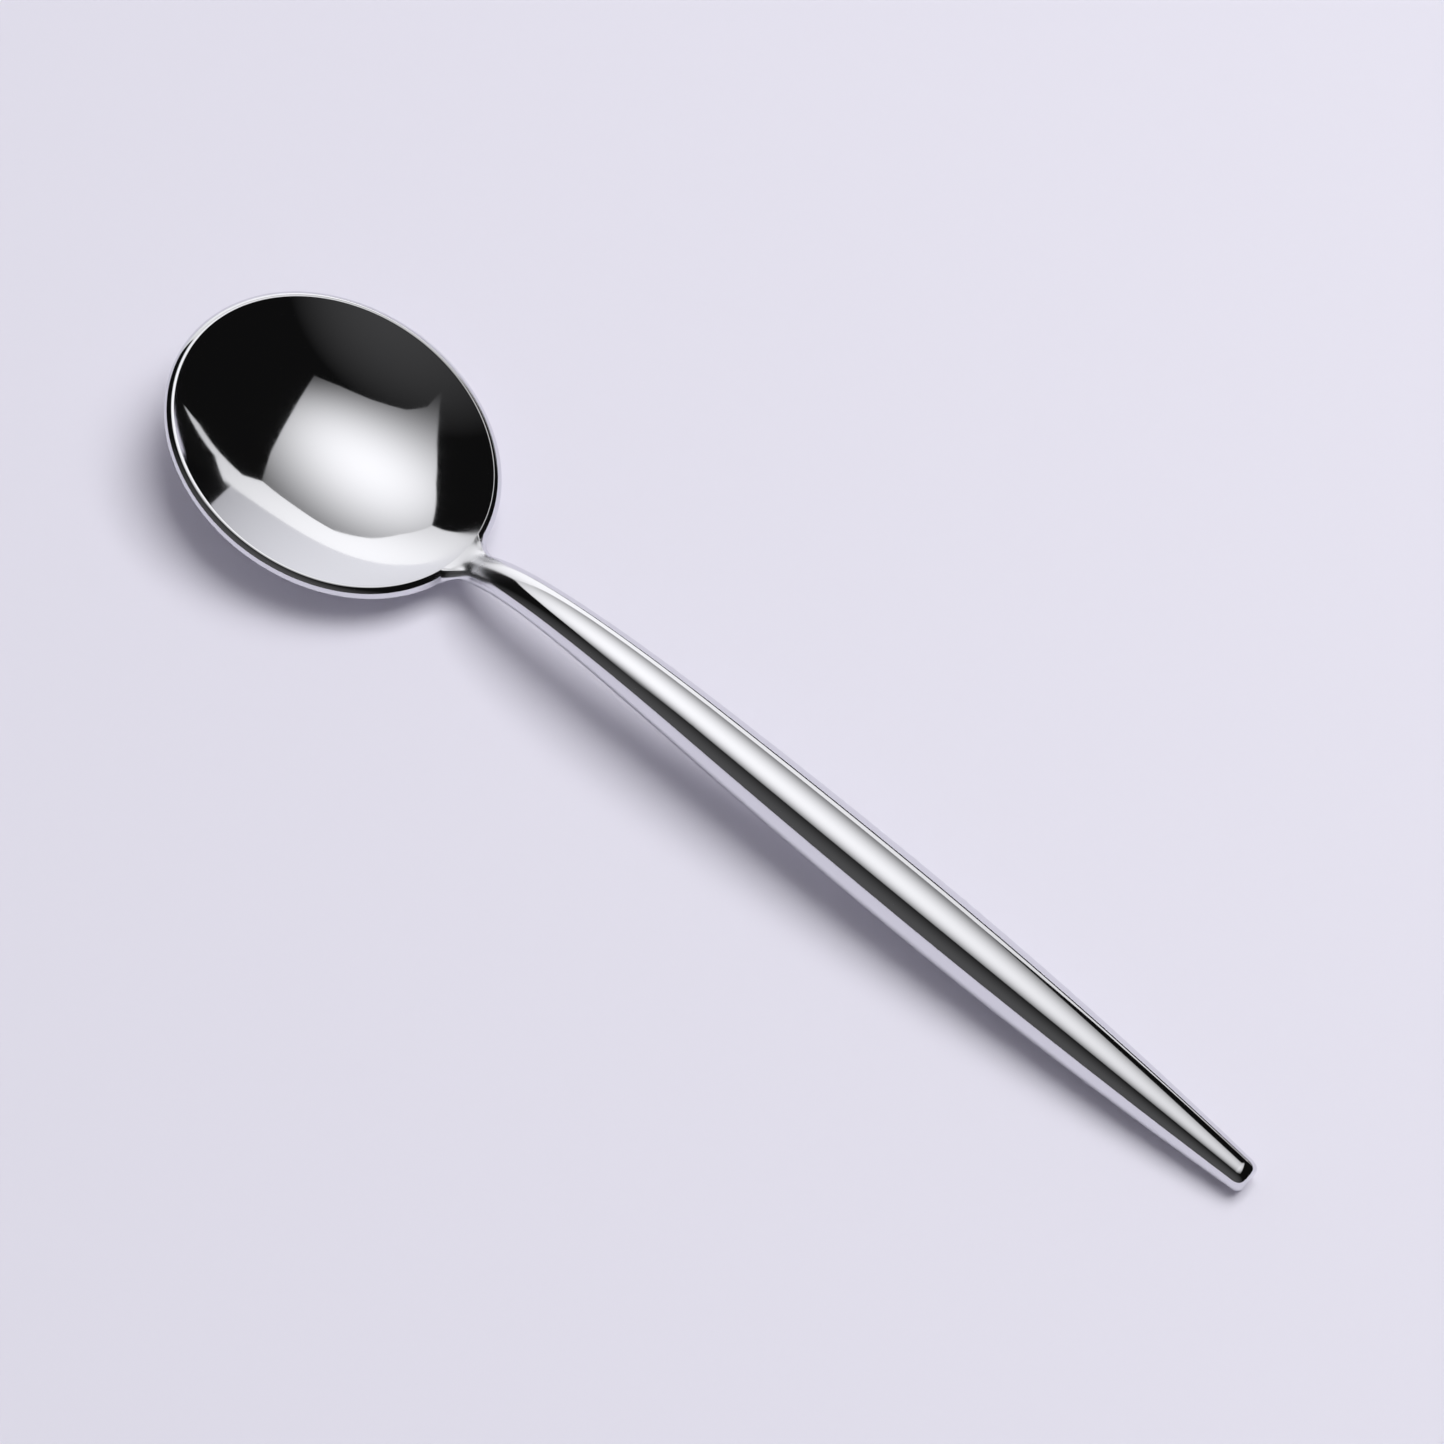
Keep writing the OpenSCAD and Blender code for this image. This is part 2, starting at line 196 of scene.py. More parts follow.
class Spoon:
    """The rules that the spoon's surfaces follow, in millimetres and radians."""

    def __init__(self, sizes):
        for prop in sizes.bl_rna.properties:
            if prop.type == "FLOAT":
                value = getattr(sizes, prop.identifier)
                setattr(self, prop.identifier, value / MM if prop.unit == "LENGTH" else value)
        self.set_bowl()
        self.set_handle()
        self.set_neck()

    def set_bowl(self):
        """Tilt of the bowl, and its height with its underside on the table."""
        self.half_lip = self.lip_wall / 2
        self.half_sizes = np.array([self.bowl_length / 2, self.bowl_width / 2])
        c, s = math.cos(self.bowl_tilt), math.sin(self.bowl_tilt)
        self.tilt = np.array([[c, 0, s], [0, 1, 0], [-s, 0, c]])
        self.bowl_place = np.zeros(3)
        profile = self.skin(np.linspace(1, 3, BOWL_PROBES), np.array([[0.0], [math.pi]]))
        self.bowl_place[2] = -profile[..., 2].min()
        self.front = profile[..., 0].min()

    def set_handle(self):
        """Place of the handle, with its tip on the table and the spoon's length centred on X."""
        self.belly_at = self.neck_run + self.belly_run
        self.end_at = self.neck_run + self.handle_length
        self.shell_end = self.handle_length - self.plug_length
        c, s = math.cos(self.handle_pitch), math.sin(self.handle_pitch)
        self.handle_way = np.array([c, 0, -s])
        self.handle_up = np.array([s, 0, c])
        r, z = self.tip_outline(TIP_PROBES).T
        lift = (r * c - (self.handle_length - z) * s).max()
        self.mouth = self.skin(LIP_RIDGE, 0.0) + [self.neck_run, 0, 0]
        self.mouth[2] = lift + self.handle_length * s
        self.bowl_place[0] = -(self.front + (self.mouth[0] + z * c + r * s).max()) / 2
        self.mouth[0] += self.bowl_place[0]

    def set_neck(self):
        """Centre line of the neck, whose top lies flush with the hollow."""
        way = np.array([math.cos(self.neck_climb), 0, math.sin(self.neck_climb)])
        rise = np.array([-way[2], 0, way[0]])
        root = self.skin(1.0, 0.0) + way * (self.lip_wall + self.neck_lead) - rise * self.neck_height / 2
        self.poles = np.array([root, root + self.root_pull * self.neck_run * way,
                               self.mouth - self.end_pull * self.neck_run * self.handle_way, self.mouth])
        self.lip_end = self.skin(LIP_RIDGE, 0.0)[0]
        self.flat = 1 - self.neck_height / 2 / self.body_r(root[0] - self.lip_end)
        self.root_reach = self.neck_width / 2 + self.root_fillet
        self.lip_run = QUARTER * self.half_lip * (1 + self.lip_round)
        self.wall_run = self.run_from(2.0, SLOPE_STEP)
        self.hollow_run = self.run_from(1.0, -SLOPE_STEP)

    def run_from(self, way, step):
        """Length along the bowl's skin at its back, for each unit of way."""
        return np.linalg.norm(self.skin(way + step, 0.0) - self.skin(way, 0.0)) / abs(step)

    def place(self, p):
        """Points of the bowl's own frame, tilted and set on the table."""
        return p @ self.tilt.T + self.bowl_place

    def hollow(self, part, t):
        """Point and outward direction of the hollow, at a part of the way from its middle to the lip."""
        x, y, left = part * np.cos(t), part * np.sin(t), 1 - part ** 2
        form = 1 - self.lean * x - self.ease * part ** 2 + self.ends * x ** 2
        a, b = self.half_sizes
        point = stacked(a * x, b * y, -self.bowl_depth * left * form)
        return point, unit(stacked(
            self.bowl_depth / a * (2 * x * form + left * (self.lean + 2 * (self.ease - self.ends) * x)),
            self.bowl_depth / b * (2 * y * form + 2 * left * self.ease * y), -1.0))

    def skin_parts(self, way, t):
        """Point and direction of the bowl's skin.

        Way runs from 0 to 1 up the hollow, to 2 over the lip and to 3 down the outside. The hollow runs
        straight on up to the lip's crisp inner edge, and the rounding starts there.
        """
        way, t = np.broadcast_arrays(np.asarray(way, float), np.asarray(t, float))
        part = np.clip(np.minimum(way, 3 - way), 0, 1)
        roll = math.pi * np.clip(way - 1, 0, 1)[..., None]
        round_lip, edge = np.maximum(roll, self.lip_edge), math.cos(self.lip_edge)
        wall = self.bottom_wall + (self.lip_wall - self.bottom_wall) * part ** 2 * (3 - 2 * part)
        half = wall[..., None] / 2
        point, n = self.hollow(part, t)
        a, b = self.half_sizes
        rise = np.cross(n, unit(stacked(-a * np.sin(t), b * np.cos(t), 0.0)))
        widen = 2 / (1 + edge)
        crisp = np.where(roll < self.lip_edge, -n,
                         unit(widen * np.sin(roll) / self.lip_round * rise - np.cos(roll) * n))
        lip = widen * (edge - np.cos(round_lip)) * n + self.lip_round * np.sin(roll) * rise
        return point + half * lip, crisp

    def skin(self, way, t):
        """Points of the bowl's skin."""
        return self.place(self.skin_parts(way, t)[0])

    def skin_normal(self, way, t):
        """Outward directions of the bowl's skin."""
        return self.skin_parts(way, t)[1] @ self.tilt.T

    def body_r(self, d):
        """Radius of the neck and handle at a distance from the neck's root."""
        swell = self.neck_width / 2 + (self.belly_d - self.neck_width) / 2 * np.sin(
            QUARTER * np.clip(d, 0, self.belly_at) / self.belly_at)
        past = np.maximum(d - self.belly_at, 0) / (self.end_at - self.belly_at)
        return swell - (self.belly_d - self.tip_d) / 2 * past ** 2

    def tip_outline(self, steps):
        """Radius and distance from the mouth along the rounded tip."""
        way = np.sin(np.linspace(0, QUARTER, steps + 1))
        start = self.body_r(self.end_at - self.tip_round)
        r = self.end_d / 2 + (start - self.end_d / 2) * np.sqrt(1 - way ** 2)
        return np.stack([r, self.handle_length - self.tip_round * (1 - way)], -1)

    def on_handle(self, s, side, rise):
        """Points at a distance from the mouth, beside and above the handle's axis."""
        s, side, rise = (np.asarray(a, float)[..., None] for a in (s, side, rise))
        return self.mouth + s * self.handle_way + side * ACROSS + rise * self.handle_up

    def neck_line(self, u):
        """Centre of the neck and its unit direction."""
        u = np.asarray(u, float)[..., None]
        p, q = self.poles, np.diff(self.poles, axis=0)
        centre = ((1 - u) ** 3 * p[0] + 3 * u * (1 - u) ** 2 * p[1]
                  + 3 * u ** 2 * (1 - u) * p[2] + u ** 3 * p[3])
        return centre, unit((1 - u) ** 2 * q[0] + 2 * u * (1 - u) * q[1] + u ** 2 * q[2])

    def neck_skin(self, u, v):
        """Points of the neck's swept skin, which is flat at its root and round at the handle."""
        u, v = np.broadcast_arrays(u, v)
        centre, way = self.neck_line(u)
        wide = self.body_r(np.minimum(centre[..., 0] - self.lip_end, self.neck_run))
        left = 1 - (centre[..., 0] - self.poles[0][0]) / (self.mouth[0] - self.poles[0][0])
        left = np.maximum(left, 0) ** 2
        tall = wide * (1 - self.flat * left)
        rise = stacked(-way[..., 2], 0.0, way[..., 0])
        return centre + (wide * np.cos(v))[..., None] * ACROSS + (tall * np.sin(v))[..., None] * rise

    def weld_line(self, v, part=1.0):
        """Place on the bowl's skin of the weld's edge, or of a smaller loop inside it, as way and turn."""
        side, run = part * self.weld_loop(v)
        run = run + self.root_drop
        over = np.clip(run, -self.lip_run / 2, self.lip_run / 2)
        beyond = (run - over) / np.where(run > 0, self.wall_run, self.hollow_run)
        way = LIP_RIDGE + over / self.lip_run + beyond
        return way, np.arcsin(side / self.skin(way, QUARTER)[..., 1])

    def weld_loop(self, v):
        """Edge of the weld on the unrolled bowl, as distances along and down over the lip."""
        low = np.minimum(np.sin(v), 0)
        above = self.root_drop + self.lip_run / 2 + self.root_lap
        tall = np.where(low < 0, self.root_tail - self.root_drop, above)
        return np.stack([self.root_reach * np.cos(v) * (1 + self.root_flare * low ** 2), -tall * np.sin(v)])

    def weld_skin(self, w, v):
        """Points of the polished weld, which leaves the bowl's skin and joins the neck without a crease."""
        w, v = np.broadcast_arrays(w, v)
        step = SLOPE_STEP
        way, t = self.weld_line(v)
        side, run = self.weld_loop(v + step) - self.weld_loop(v - step)
        start = self.skin(way, t)
        over = unit(self.skin(way + step, t) - self.skin(way - step, t))
        round_lip = unit(self.skin(way, t + step) - self.skin(way, t - step))
        leave = unit(run[..., None] * round_lip - side[..., None] * over)
        end = self.neck_skin(0.0, v)
        join = unit(self.neck_skin(step, v) - end)
        runs = [((end - start) * d).sum(-1, keepdims=True) for d in (leave, join)]
        pulls = [self.weld_pull * np.maximum(r, LEAST_RUN) for r in runs]
        w = w[..., None]
        return ((2 * w ** 3 - 3 * w ** 2 + 1) * start + (w ** 3 - 2 * w ** 2 + w) * pulls[0] * leave
                + (3 * w ** 2 - 2 * w ** 3) * end + (w ** 3 - w ** 2) * pulls[1] * join)


def normals_of(surface, a, b):
    """Directions across a surface that is given as a function of two values."""
    step = 1e-5
    along_a = surface(a + step, b) - surface(a - step, b)
    along_b = surface(a, b + step) - surface(a, b - step)
    return unit(np.cross(along_b, along_a))


def add(tree, kind, links=(), **settings):
    """Adds a node with its settings, and sets or links its inputs by number or name."""
    node = tree.nodes.new(kind)
    for name, value in settings.items():
        setattr(node, name, value)
    for key, value in dict(links).items():
        if isinstance(value, bpy.types.NodeSocket):
            tree.links.new(value, node.inputs[key])
        else:
            node.inputs[key].default_value = value
    return node


def material(name):
    """An empty node material and its tree."""
    made = bpy.data.materials.new(name)
    made.use_nodes = True
    made.node_tree.nodes.clear()
    return made, made.node_tree


def polished_steel(finish):
    """Mirror-polished stainless steel: buffed on a wheel, so it mirrors the room with faint streaks."""
    made, tree = material("mirror_polished_stainless_steel")
    place = add(tree, "ShaderNodeTexCoord").outputs["Object"]
    # Buffing streaks of about 14 mm by 0.5 mm along the spoon, coarser than the real ones so that they show
    finer = (1 / (14 * MM), 1 / (0.5 * MM), 1 / (0.5 * MM))
    streak = add(tree, "ShaderNodeMapping", {"Vector": place, "Scale": finer})
    lines = add(tree, "ShaderNodeTexNoise", {"Vector": streak.outputs[0], "Scale": 1.0, "Detail": 3.0})
    # Cloudy haze of handling, in patches of about 9 mm
    cloud = add(tree, "ShaderNodeTexNoise", {"Vector": place, "Scale": 1 / (9 * MM), "Detail": 2.0})
    haze = add(tree, "ShaderNodeMath", {0: lines.outputs[0], 1: cloud.outputs[0]}, operation="MULTIPLY")
    rough = add(tree, "ShaderNodeMapRange", {"Value": haze.outputs[0], "From Min": 0.1, "From Max": 0.45,
                                             "To Min": 0.035, "To Max": 0.075})
    # The weld at the neck's root is finished by hand, so the steel within about 9 mm of it is duller
    root = Spoon(bpy.context.scene.spoon_sizes).poles[0] * MM
    off = add(tree, "ShaderNodeVectorMath", {0: place, 1: root}, operation="DISTANCE").outputs["Value"]
    weld = add(tree, "ShaderNodeMapRange", {"Value": off, "From Min": 2 * MM, "From Max": 9 * MM,
                                            "To Min": 0.24, "To Max": 0.0})
    dull = add(tree, "ShaderNodeMath", {0: rough.outputs[0], 1: weld.outputs[0]}, operation="ADD")
    steel = add(tree, "ShaderNodeBsdfPrincipled", {"Base Color": linear(finish.polished), "Metallic": 1.0,
                                                   "Roughness": dull.outputs[0]})
    add(tree, "ShaderNodeOutputMaterial", {"Surface": steel.outputs[0]})
    return made


def turned_steel(finish):
    """Turned stainless steel: left from the lathe, so fine tool rings round its axis blur what it mirrors."""
    made, tree = material("turned_stainless_steel")
    place = add(tree, "ShaderNodeTexCoord").outputs["Object"]
    # Tool rings about 0.94 mm apart along the bush, coarser than the real ones so that they show
    rings = add(tree, "ShaderNodeTexWave", {
        "Vector": place, "Scale": 2 * math.pi / (0.94248 * MM) / WAVE_TURN, "Distortion": 0.4},
        wave_type="BANDS", bands_direction="X")
    bump = add(tree, "ShaderNodeBump", {
        "Height": rings.outputs["Fac"], "Strength": 0.2, "Distance": 0.01 * MM})
    steel = add(tree, "ShaderNodeBsdfPrincipled", {"Base Color": linear(finish.turned), "Metallic": 1.0,
                                                   "Roughness": 0.35, "Normal": bump.outputs[0]})
    add(tree, "ShaderNodeOutputMaterial", {"Surface": steel.outputs[0]})
    return made


def cast_resin(finish):
    """Cast filling resin: poured in warm with its filler stirred in, so it is dull and cloudy."""
    made, tree = material("cast_filling_resin")
    place = add(tree, "ShaderNodeTexCoord").outputs["Object"]
    # Clouds of filler about 3 mm across
    cloud = add(tree, "ShaderNodeTexNoise", {"Vector": place, "Scale": 1 / (3 * MM), "Detail": 4.0})
    shade = add(tree, "ShaderNodeMix", {
        0: cloud.outputs[0], 6: linear(finish.resin), 7: linear(finish.resin_cloud)}, data_type="RGBA")
    body = add(tree, "ShaderNodeBsdfPrincipled", {
        "Base Color": shade.outputs[2], "Roughness": 0.6, "IOR": 1.55})
    add(tree, "ShaderNodeOutputMaterial", {"Surface": body.outputs[0]})
    return made


def matte_paper(finish):
    """Matte background paper: uncoated and rolled smooth, so it is even and has no shine."""
    made, tree = material("matte_background_paper")
    paper = add(tree, "ShaderNodeBsdfDiffuse", {"Color": linear(finish.paper)})
    add(tree, "ShaderNodeOutputMaterial", {"Surface": paper.outputs[0]})
    return made


MADE = {}


def shared(make, finish):
    """The material that a function makes, made once."""
    if make.__name__ not in MADE:
        MADE[make.__name__] = make(finish)
    return MADE[make.__name__]


def grid_faces(first, rings, sides):
    """Quads between closed rings of points, numbered from first."""
    i, k = np.meshgrid(np.arange(rings - 1), np.arange(sides), indexing="ij")
    a, n = first + i * sides, (k + 1) % sides
    return np.stack([a + k, a + n, a + sides + n, a + sides + k], -1).reshape(-1, 4).tolist()


def fan_faces(tip, first, sides, turned):
    """Triangles from one point to a closed ring."""
    fan = [(tip, first + (k + 1) % sides, first + k) for k in range(sides)]
    return [face[::-1] for face in fan] if turned else fan


def finish_piece(name, mesh, skin_normals, steel):
    """Makes a piece of polished steel from a mesh: smooth with its exact normals, riding on the spoon."""
    mesh.shade_smooth()
    mesh.normals_split_custom_set(skin_normals)
    mesh.materials.clear()
    mesh.materials.append(steel)
    piece = bpy.data.objects.new(name, mesh)
    bpy.context.scene.collection.objects.link(piece)
    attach(piece, "root")
    return piece


def ringed_piece(name, first, rings, last, normals, steel):
    """A closed piece through rings of points, with a normal for each point and one for each end."""
    count, sides = rings.shape[:2]
    points = np.concatenate([[first], rings.reshape(-1, 3), [last]]) * MM
    tail = len(points) - 1
    faces = (fan_faces(0, 1, sides, False) + grid_faces(1, count, sides)
             + fan_faces(tail, tail - sides, sides, True))
    mesh = bpy.data.meshes.new(name)
    mesh.from_pydata(points.tolist(), [], faces)
    corners = np.zeros(len(mesh.loops), dtype=int)
    mesh.loops.foreach_get("vertex_index", corners)
    return finish_piece(name, mesh, normals[corners].tolist(), steel)


class SPOON_OT_bowl(bpy.types.Operator):
    """Build the oval bowl with its softened lip"""

    bl_idname = "spoon.bowl"
    bl_label = "Bowl"

    def execute(self, context):
        spoon = Spoon(context.scene.spoon_sizes)
        # Doubled rings keep the lip's inner edge crisp
        edge, tiny = 1 + spoon.lip_edge / math.pi, 1e-6
        way = np.concatenate([
            np.linspace(0, 1, HOLLOW_RINGS + 1)[1:], [(1 + edge) / 2, edge - tiny],
            np.linspace(edge + tiny, 2, LIP_RINGS), np.linspace(2, 3, HOLLOW_RINGS + 1)[1:-1]])
        t = -np.linspace(0, 2 * math.pi, BOWL_SIDES + 1)[:-1]
        rings = spoon.skin(way[:, None], t)
        normals = np.concatenate([[spoon.skin_normal(0.0, 0.0)],
                                  spoon.skin_normal(way[:, None], t).reshape(-1, 3),
                                  [spoon.skin_normal(3.0, 0.0)]])
        bowl = ringed_piece("polished_bowl", spoon.skin(0.0, 0.0), rings, spoon.skin(3.0, 0.0), normals,
                            shared(polished_steel, context.scene.spoon_finish))
        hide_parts("bowl")
        return {"FINISHED"}


class SPOON_OT_neck(bpy.types.Operator):
    """Build the neck with the polished weld that joins it to the bowl"""

    bl_idname = "spoon.neck"
    bl_label = "Neck"

    def execute(self, context):
        spoon = Spoon(context.scene.spoon_sizes)
        v = np.linspace(0, 2 * math.pi, NECK_SIDES + 1)[:-1]
        loops = [spoon.weld_line(v, part) for part in SEAT_SHARES]
        seat = np.stack([spoon.skin(*loop) - SEAT_BITE * spoon.skin_normal(*loop) for loop in loops])
        seat_normals = np.stack([-spoon.skin_normal(*loop) for loop in loops])
        w = np.linspace(0, 1, WELD_RINGS + 1)[:-1, None]
        u = np.linspace(0, 1, NECK_RINGS + 1)[:, None]
        rings = np.concatenate([seat, spoon.weld_skin(w, v), spoon.neck_skin(u, v)])
        middle = spoon.weld_line(0.0, 0.0)
        first = spoon.skin(*middle) - SEAT_BITE * spoon.skin_normal(*middle)
        normals = np.concatenate([
            [-spoon.skin_normal(*middle)], seat_normals.reshape(-1, 3),
            normals_of(spoon.weld_skin, w, v).reshape(-1, 3),
            normals_of(spoon.neck_skin, u, v).reshape(-1, 3), [spoon.handle_way]])
        neck = ringed_piece("polished_neck", first, rings, spoon.mouth, normals,
                            shared(polished_steel, context.scene.spoon_finish))
        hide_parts("neck")
        return {"FINISHED"}


# Steps of the handle's rule from a flat grid: name, operation and its two values
SHELL_RULE = (
    ("x share", "ADD", "x", 0.5),
    ("along", "MULTIPLY", "x share", "Shell Length"),
    ("y share", "SUBTRACT", 0.5, "y"),
    ("half turn", "MULTIPLY", "y share", math.pi),
    ("turn", "ADD", "half turn", "Start Angle"),
    # Sine swell from the neck to the belly
    ("d", "ADD", "along", "Neck Run"),
    ("belly at", "ADD", "Neck Run", "Belly Run"),
    ("d share", "DIVIDE", "d", "belly at"),
    ("swell share", "MINIMUM", "d share", 1.0),
    ("swell angle", "MULTIPLY", "swell share", QUARTER),
    ("swell sine", "SINE", "swell angle", 0.0),
    ("swell range", "SUBTRACT", "Belly Diameter", "Neck Width"),
    ("swell", "MULTIPLY", "swell range", "swell sine"),
    # Square taper from the belly to the tip
    ("past belly", "SUBTRACT", "d", "belly at"),
    ("taper run", "MAXIMUM", "past belly", 0.0),
    ("taper length", "SUBTRACT", "Handle Length", "Belly Run"),
    ("taper share", "DIVIDE", "taper run", "taper length"),
    ("taper square", "MULTIPLY", "taper share", "taper share"),
    ("taper range", "SUBTRACT", "Belly Diameter", "Tip Diameter"),
    ("taper", "MULTIPLY", "taper range", "taper square"),
    ("swollen", "ADD", "Neck Width", "swell"),
    ("diameter", "SUBTRACT", "swollen", "taper"),
    ("radius", "MULTIPLY", "diameter", 0.5),
    ("cosine", "COSINE", "turn", 0.0),
    ("side", "MULTIPLY", "radius", "cosine"),
    ("sine", "SINE", "turn", 0.0),
    ("rise", "MULTIPLY", "radius", "sine"),
    ("inward", "MULTIPLY", "Wall", -1.0),
)


def shell_tree(steel):
    """Geometry Nodes for half of the handle: a grid bent to the handle's radius rule and given its wall."""
    tree = bpy.data.node_groups.new("handle_shell", "GeometryNodeTree")
    tree.is_modifier = True
    for name in ("Neck Width", "Belly Diameter", "Tip Diameter", "Neck Run", "Belly Run", "Handle Length",
                 "Shell Length", "Wall", "Pitch", "Start Angle"):
        tree.interface.new_socket(name, in_out="INPUT", socket_type="NodeSocketFloat")
    tree.interface.new_socket("Mouth", in_out="INPUT", socket_type="NodeSocketVector")
    tree.interface.new_socket("Geometry", in_out="OUTPUT", socket_type="NodeSocketGeometry")
    size = add(tree, "NodeGroupInput").outputs

    grid = add(tree, "GeometryNodeMeshGrid", {
        "Size X": 1.0, "Size Y": 1.0, "Vertices X": SHELL_RINGS, "Vertices Y": SHELL_SIDES})
    spot = add(tree, "ShaderNodeSeparateXYZ", {0: add(tree, "GeometryNodeInputPosition").outputs[0]}).outputs
    value = {"x": spot[0], "y": spot[1]} | {socket.name: socket for socket in size if socket.name}
    for name, operation, a, b in SHELL_RULE:
        node = add(tree, "ShaderNodeMath", {0: value.get(a, a), 1: value.get(b, b)}, operation=operation)
        value[name] = node.outputs[0]
    bent = add(tree, "ShaderNodeCombineXYZ", {0: value["along"], 1: value["side"], 2: value["rise"]})
    skin = add(tree, "GeometryNodeSetPosition", {"Geometry": grid.outputs[0], "Position": bent.outputs[0]})
    # Wall: the skin pushed in along its normals and turned over
    inside = add(tree, "GeometryNodeExtrudeMesh", {"Mesh": skin.outputs[0], "Individual": False,
                                                   "Offset Scale": value["inward"]})
    turned = add(tree, "GeometryNodeFlipFaces", {"Mesh": inside.outputs[0]})
    joined = add(tree, "GeometryNodeJoinGeometry")
    for part in (skin.outputs[0], turned.outputs[0]):
        tree.links.new(part, joined.inputs[0])
    closed = add(tree, "GeometryNodeMergeByDistance", {
        "Geometry": joined.outputs[0], "Distance": SHELL_JOIN * MM})
    angles = add(tree, "ShaderNodeCombineXYZ", {1: size["Pitch"]})
    placed = add(tree, "GeometryNodeTransform", {"Geometry": closed.outputs[0], "Translation": size["Mouth"],
                                                 "Rotation": angles.outputs[0]})
    real = add(tree, "GeometryNodeRealizeInstances", {0: placed.outputs[0]})
    coated = add(tree, "GeometryNodeSetMaterial", {"Geometry": real.outputs[0], "Material": steel})
    add(tree, "NodeGroupOutput", {0: coated.outputs[0]})
    return tree


class SPOON_OT_handle(bpy.types.Operator):
    """Build the two halves of the round hollow handle"""

    bl_idname = "spoon.handle"
    bl_label = "Handle shells"

    def execute(self, context):
        sizes = context.scene.spoon_sizes
        spoon = Spoon(sizes)
        steel = shared(polished_steel, context.scene.spoon_finish)
        tree = shell_tree(steel)
        values = {
            "Neck Width": sizes.neck_width, "Belly Diameter": sizes.belly_d, "Tip Diameter": sizes.tip_d,
            "Neck Run": sizes.neck_run, "Belly Run": sizes.belly_run, "Handle Length": sizes.handle_length,
            "Shell Length": sizes.handle_length - sizes.plug_length, "Wall": sizes.shell_wall,
            "Pitch": sizes.handle_pitch, "Mouth": list(spoon.mouth * MM),
        }
        for half, start in (("upper", 0.0), ("lower", math.pi)):
            values["Start Angle"] = start
            maker = bpy.data.objects.new("handle_maker", bpy.data.meshes.new("handle_maker"))
            context.scene.collection.objects.link(maker)
            rule = maker.modifiers.new("shell", "NODES")
            rule.node_group = tree
            for item in tree.interface.items_tree:
                if item.in_out == "INPUT":
                    rule[item.identifier] = values[item.name]
            graph = context.evaluated_depsgraph_get()
            mesh = bpy.data.meshes.new_from_object(maker.evaluated_get(graph))
            bpy.data.objects.remove(maker)
            mesh.name = f"polished_{half}_shell"
            shell = finish_piece(mesh.name, mesh, self.shell_normals(spoon, mesh), steel)
            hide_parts(f"handle_{half}_shell")
        return {"FINISHED"}

    @staticmethod
    def shell_normals(spoon, mesh):
        """Exact normals on the shell's outside, and plain ones on its other faces."""
        points = np.array([v.co for v in mesh.vertices]) / MM
        flat = np.array([p.normal for p in mesh.polygons])
        owner = np.repeat(np.arange(len(mesh.polygons)), [p.loop_total for p in mesh.polygons])
        corner = np.array([loop.vertex_index for loop in mesh.loops])
        off = points[corner] - spoon.mouth
        s = off @ spoon.handle_way
        radial = off - s[:, None] * spoon.handle_way
        r = np.linalg.norm(radial, axis=-1)
        d = spoon.neck_run + s
        step, near, facing = 0.01, 0.01, 0.9
        slope = (spoon.body_r(d + step) - spoon.body_r(d - step)) / (2 * step)
        exact = unit(radial / r[:, None] - slope[:, None] * spoon.handle_way)
        on_skin = np.abs(r - spoon.body_r(d)) < near
        outside = on_skin & (np.einsum("ij,ij->i", flat[owner], exact) > facing)
        return np.where(outside[:, None], exact, flat[owner]).tolist()


class SPOON_OT_tip_plug(bpy.types.Operator):
    """Build the plug with the small flat end and its spigot"""

    bl_idname = "spoon.tip_plug"
    bl_label = "Tip plug"

    def execute(self, context):
        spoon = Spoon(context.scene.spoon_sizes)
        v = np.linspace(0, 2 * math.pi, PLUG_SIDES + 1)[:-1]
        s = np.linspace(spoon.shell_end, spoon.handle_length - spoon.tip_round, PLUG_RINGS + 1)[:-1]
        body = np.stack([spoon.body_r(spoon.neck_run + s), s], -1)
        spigot_end = spoon.shell_end - spoon.spigot_length
        spigot = np.array([[spoon.spigot_d / 2, spigot_end], [spoon.spigot_d / 2, spoon.shell_end]])
        # Doubled rings keep the spigot's corners and the edge of the flat end crisp
        tip = spoon.tip_outline(TIP_RINGS)
        outline = np.concatenate([spigot[:1], spigot, spigot[1:], body[:1], body, tip, tip[-1:]])
        skin = np.gradient(np.concatenate([body, tip]), axis=0)
        skin = unit(np.stack([skin[:, 1], -skin[:, 0]], -1))
        lean = np.concatenate([[[0, -1], [1, 0], [1, 0], [0, -1], [0, -1]], skin, [[0, 1]]])
        r, z = outline.T[:, :, None]
        rings = spoon.on_handle(z + 0 * v, r * np.cos(v), r * np.sin(v))
        outward = np.cos(v)[:, None] * ACROSS + np.sin(v)[:, None] * spoon.handle_up
        ring_normals = lean[:, 0, None, None] * outward + lean[:, 1, None, None] * spoon.handle_way
        normals = np.concatenate([[-spoon.handle_way], ring_normals.reshape(-1, 3), [spoon.handle_way]])
        ends = spoon.on_handle([spigot_end, spoon.handle_length], [0, 0], [0, 0])
        plug = ringed_piece("polished_tip_plug", ends[0], rings, ends[1], normals,
                            shared(polished_steel, context.scene.spoon_finish))
        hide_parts("tip_plug")
        return {"FINISHED"}


class SPOON_OT_inside(bpy.types.Operator):
    """Give the bush and the filling inside the handle their materials"""

    bl_idname = "spoon.inside"
    bl_label = "Inside the handle"

    def execute(self, context):
        finish = context.scene.spoon_finish
        for node, make in (("tang_bush", turned_steel), ("filler_core", cast_resin)):
            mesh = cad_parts[node].data
            mesh.materials.clear()
            mesh.materials.append(shared(make, finish))
        return {"FINISHED"}


